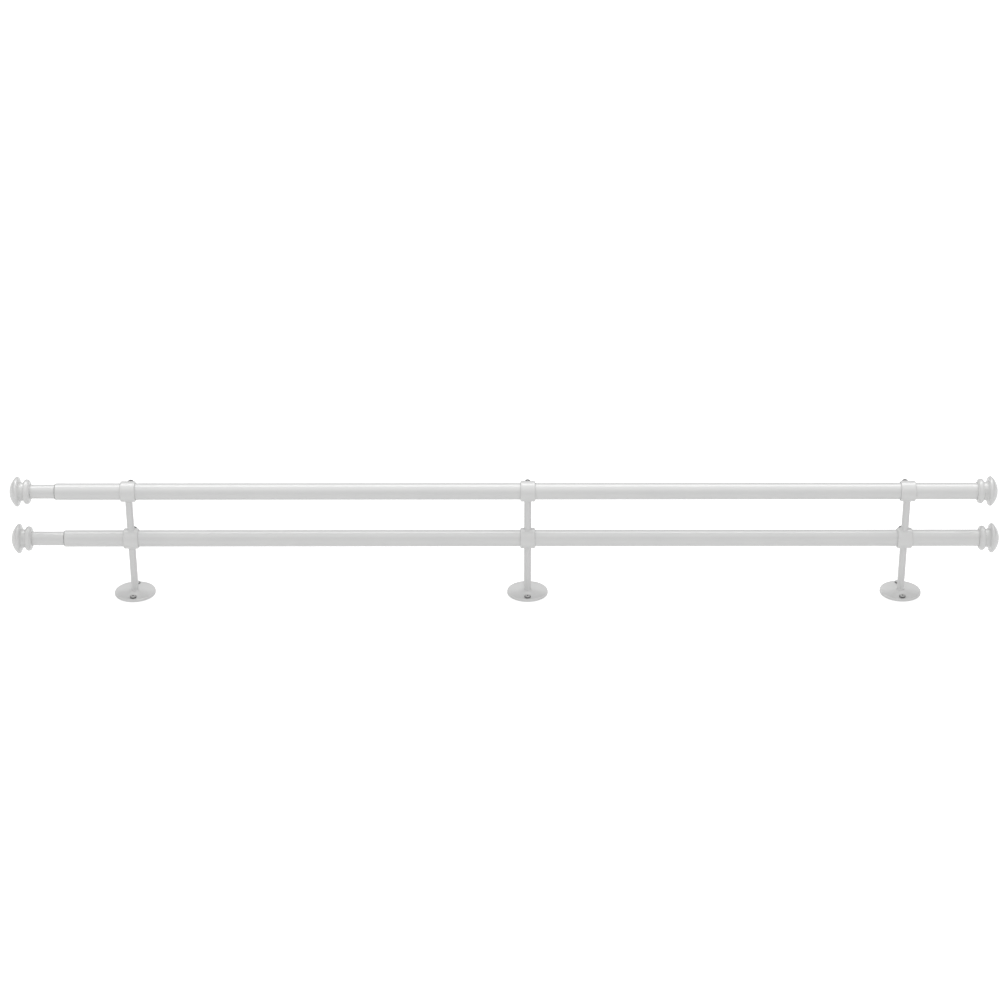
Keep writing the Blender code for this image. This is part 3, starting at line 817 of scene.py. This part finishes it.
FLOOR_SIZE = 60.0
FLOOR_DROP = 0.3 * MM
FLOOR_TONE = 0.66                   # as the object sees it, so that its edges stay darker than the floor
FLOOR_GLOW = 0.20
FLOOR_WHITENESS = 0.70              # instead of FLOOR_GLOW where the camera sees the floor itself
SKY_LEVEL = 0.31                    # all round, as radiance
FRONT_SKY = 0.37                    # added behind the camera
TOP_SKY = 0.60                      # added overhead
KEY_SIZE = (4.0, 0.9)
KEY_LOCATION = (0.0, 0.68, 2.24)
KEY_POWER = 25.0
CAMERA_LENS = 90.13                 # millimetres, on a sensor of CAMERA_SENSOR
CAMERA_SENSOR = 36.0
CAMERA_LOCATION = (-0.0292, -2.7879, 1.4779)
CAMERA_TILT = math.radians(64.079)
CAMERA_ROLL = math.radians(-0.046)


def build_stage():
    bm = bmesh.new()
    bmesh.ops.create_grid(bm, x_segments=1, y_segments=1, size=FLOOR_SIZE / 2)
    mesh = bpy.data.meshes.new("floor")
    bm.to_mesh(mesh)
    bm.free()
    floor = bpy.data.objects.new("floor", mesh)
    floor.location.z = -FLOOR_DROP
    bpy.context.scene.collection.objects.link(floor)
    shader = Shader("floor", (FLOOR_TONE, FLOOR_TONE, FLOOR_TONE), 0.0, 0.9)
    shader.surface.inputs["Emission Color"].default_value = (1.0, 1.0, 1.0, 1.0)
    shader.surface.inputs["Specular IOR Level"].default_value = 0.0
    seen = shader.tree.nodes.new("ShaderNodeLightPath").outputs["Is Camera Ray"]
    glow = shader.between(seen, 0.0, 1.0, FLOOR_GLOW, FLOOR_WHITENESS)
    shader.link(glow, shader.surface.inputs["Emission Strength"])
    mesh.materials.append(shader.material)


def add_softbox(name, location, target, size, power):
    """A rectangular area light at location that faces target."""
    light = bpy.data.lights.new(name, "AREA")
    light.shape = "RECTANGLE"
    light.size, light.size_y = size
    light.energy = power
    lamp = bpy.data.objects.new(name, light)
    lamp.location = location
    lamp.rotation_euler = (Vector(target) - Vector(location)).to_track_quat("-Z", "Y").to_euler()
    bpy.context.scene.collection.objects.link(lamp)


def build_world():
    """A dim sky that is brighter overhead and behind the camera."""
    world = bpy.data.worlds.new("studio")
    world.use_nodes = True
    tree = world.node_tree
    coordinates = tree.nodes.new("ShaderNodeTexCoord")
    split = tree.nodes.new("ShaderNodeSeparateXYZ")
    tree.links.new(coordinates.outputs["Generated"], split.inputs["Vector"])
    background = tree.nodes["Background"]
    background.inputs["Color"].default_value = (1.0, 1.0, 1.0, 1.0)
    levels = []
    for axis, low, high, base, top in (("Y", -0.1, -0.8, SKY_LEVEL, SKY_LEVEL + FRONT_SKY),
                                       ("Z", 0.55, 0.95, 0.0, TOP_SKY)):
        level = tree.nodes.new("ShaderNodeMapRange")
        level.interpolation_type = "SMOOTHSTEP"
        for socket, number in (("From Min", low), ("From Max", high), ("To Min", base), ("To Max", top)):
            level.inputs[socket].default_value = number
        tree.links.new(split.outputs[axis], level.inputs["Value"])
        levels.append(level.outputs["Result"])
    both = tree.nodes.new("ShaderNodeMath")
    both.operation = "ADD"
    for source, socket in zip(levels, both.inputs):
        tree.links.new(source, socket)
    tree.links.new(both.outputs["Value"], background.inputs["Strength"])
    bpy.context.scene.world = world


def build_lights():
    """The studio sky, and a wide softbox above and behind the rods."""
    build_world()
    add_softbox("key", KEY_LOCATION, (0.0, 0.0, FRONT_ROD_HEIGHT), KEY_SIZE, KEY_POWER)


def build_camera():
    data = bpy.data.cameras.new("camera")
    data.lens = CAMERA_LENS
    data.sensor_width = CAMERA_SENSOR
    camera = bpy.data.objects.new("camera", data)
    camera.location = CAMERA_LOCATION
    turn = Matrix.Rotation(CAMERA_TILT, 3, "X") @ Matrix.Rotation(CAMERA_ROLL, 3, "Z")
    camera.rotation_euler = turn.to_euler()
    bpy.context.scene.collection.objects.link(camera)
    bpy.context.scene.camera = camera


bpy.context.scene.view_settings.view_transform = "Standard"
build_camera()
build_brackets()
build_rods()
build_stage()
build_lights()
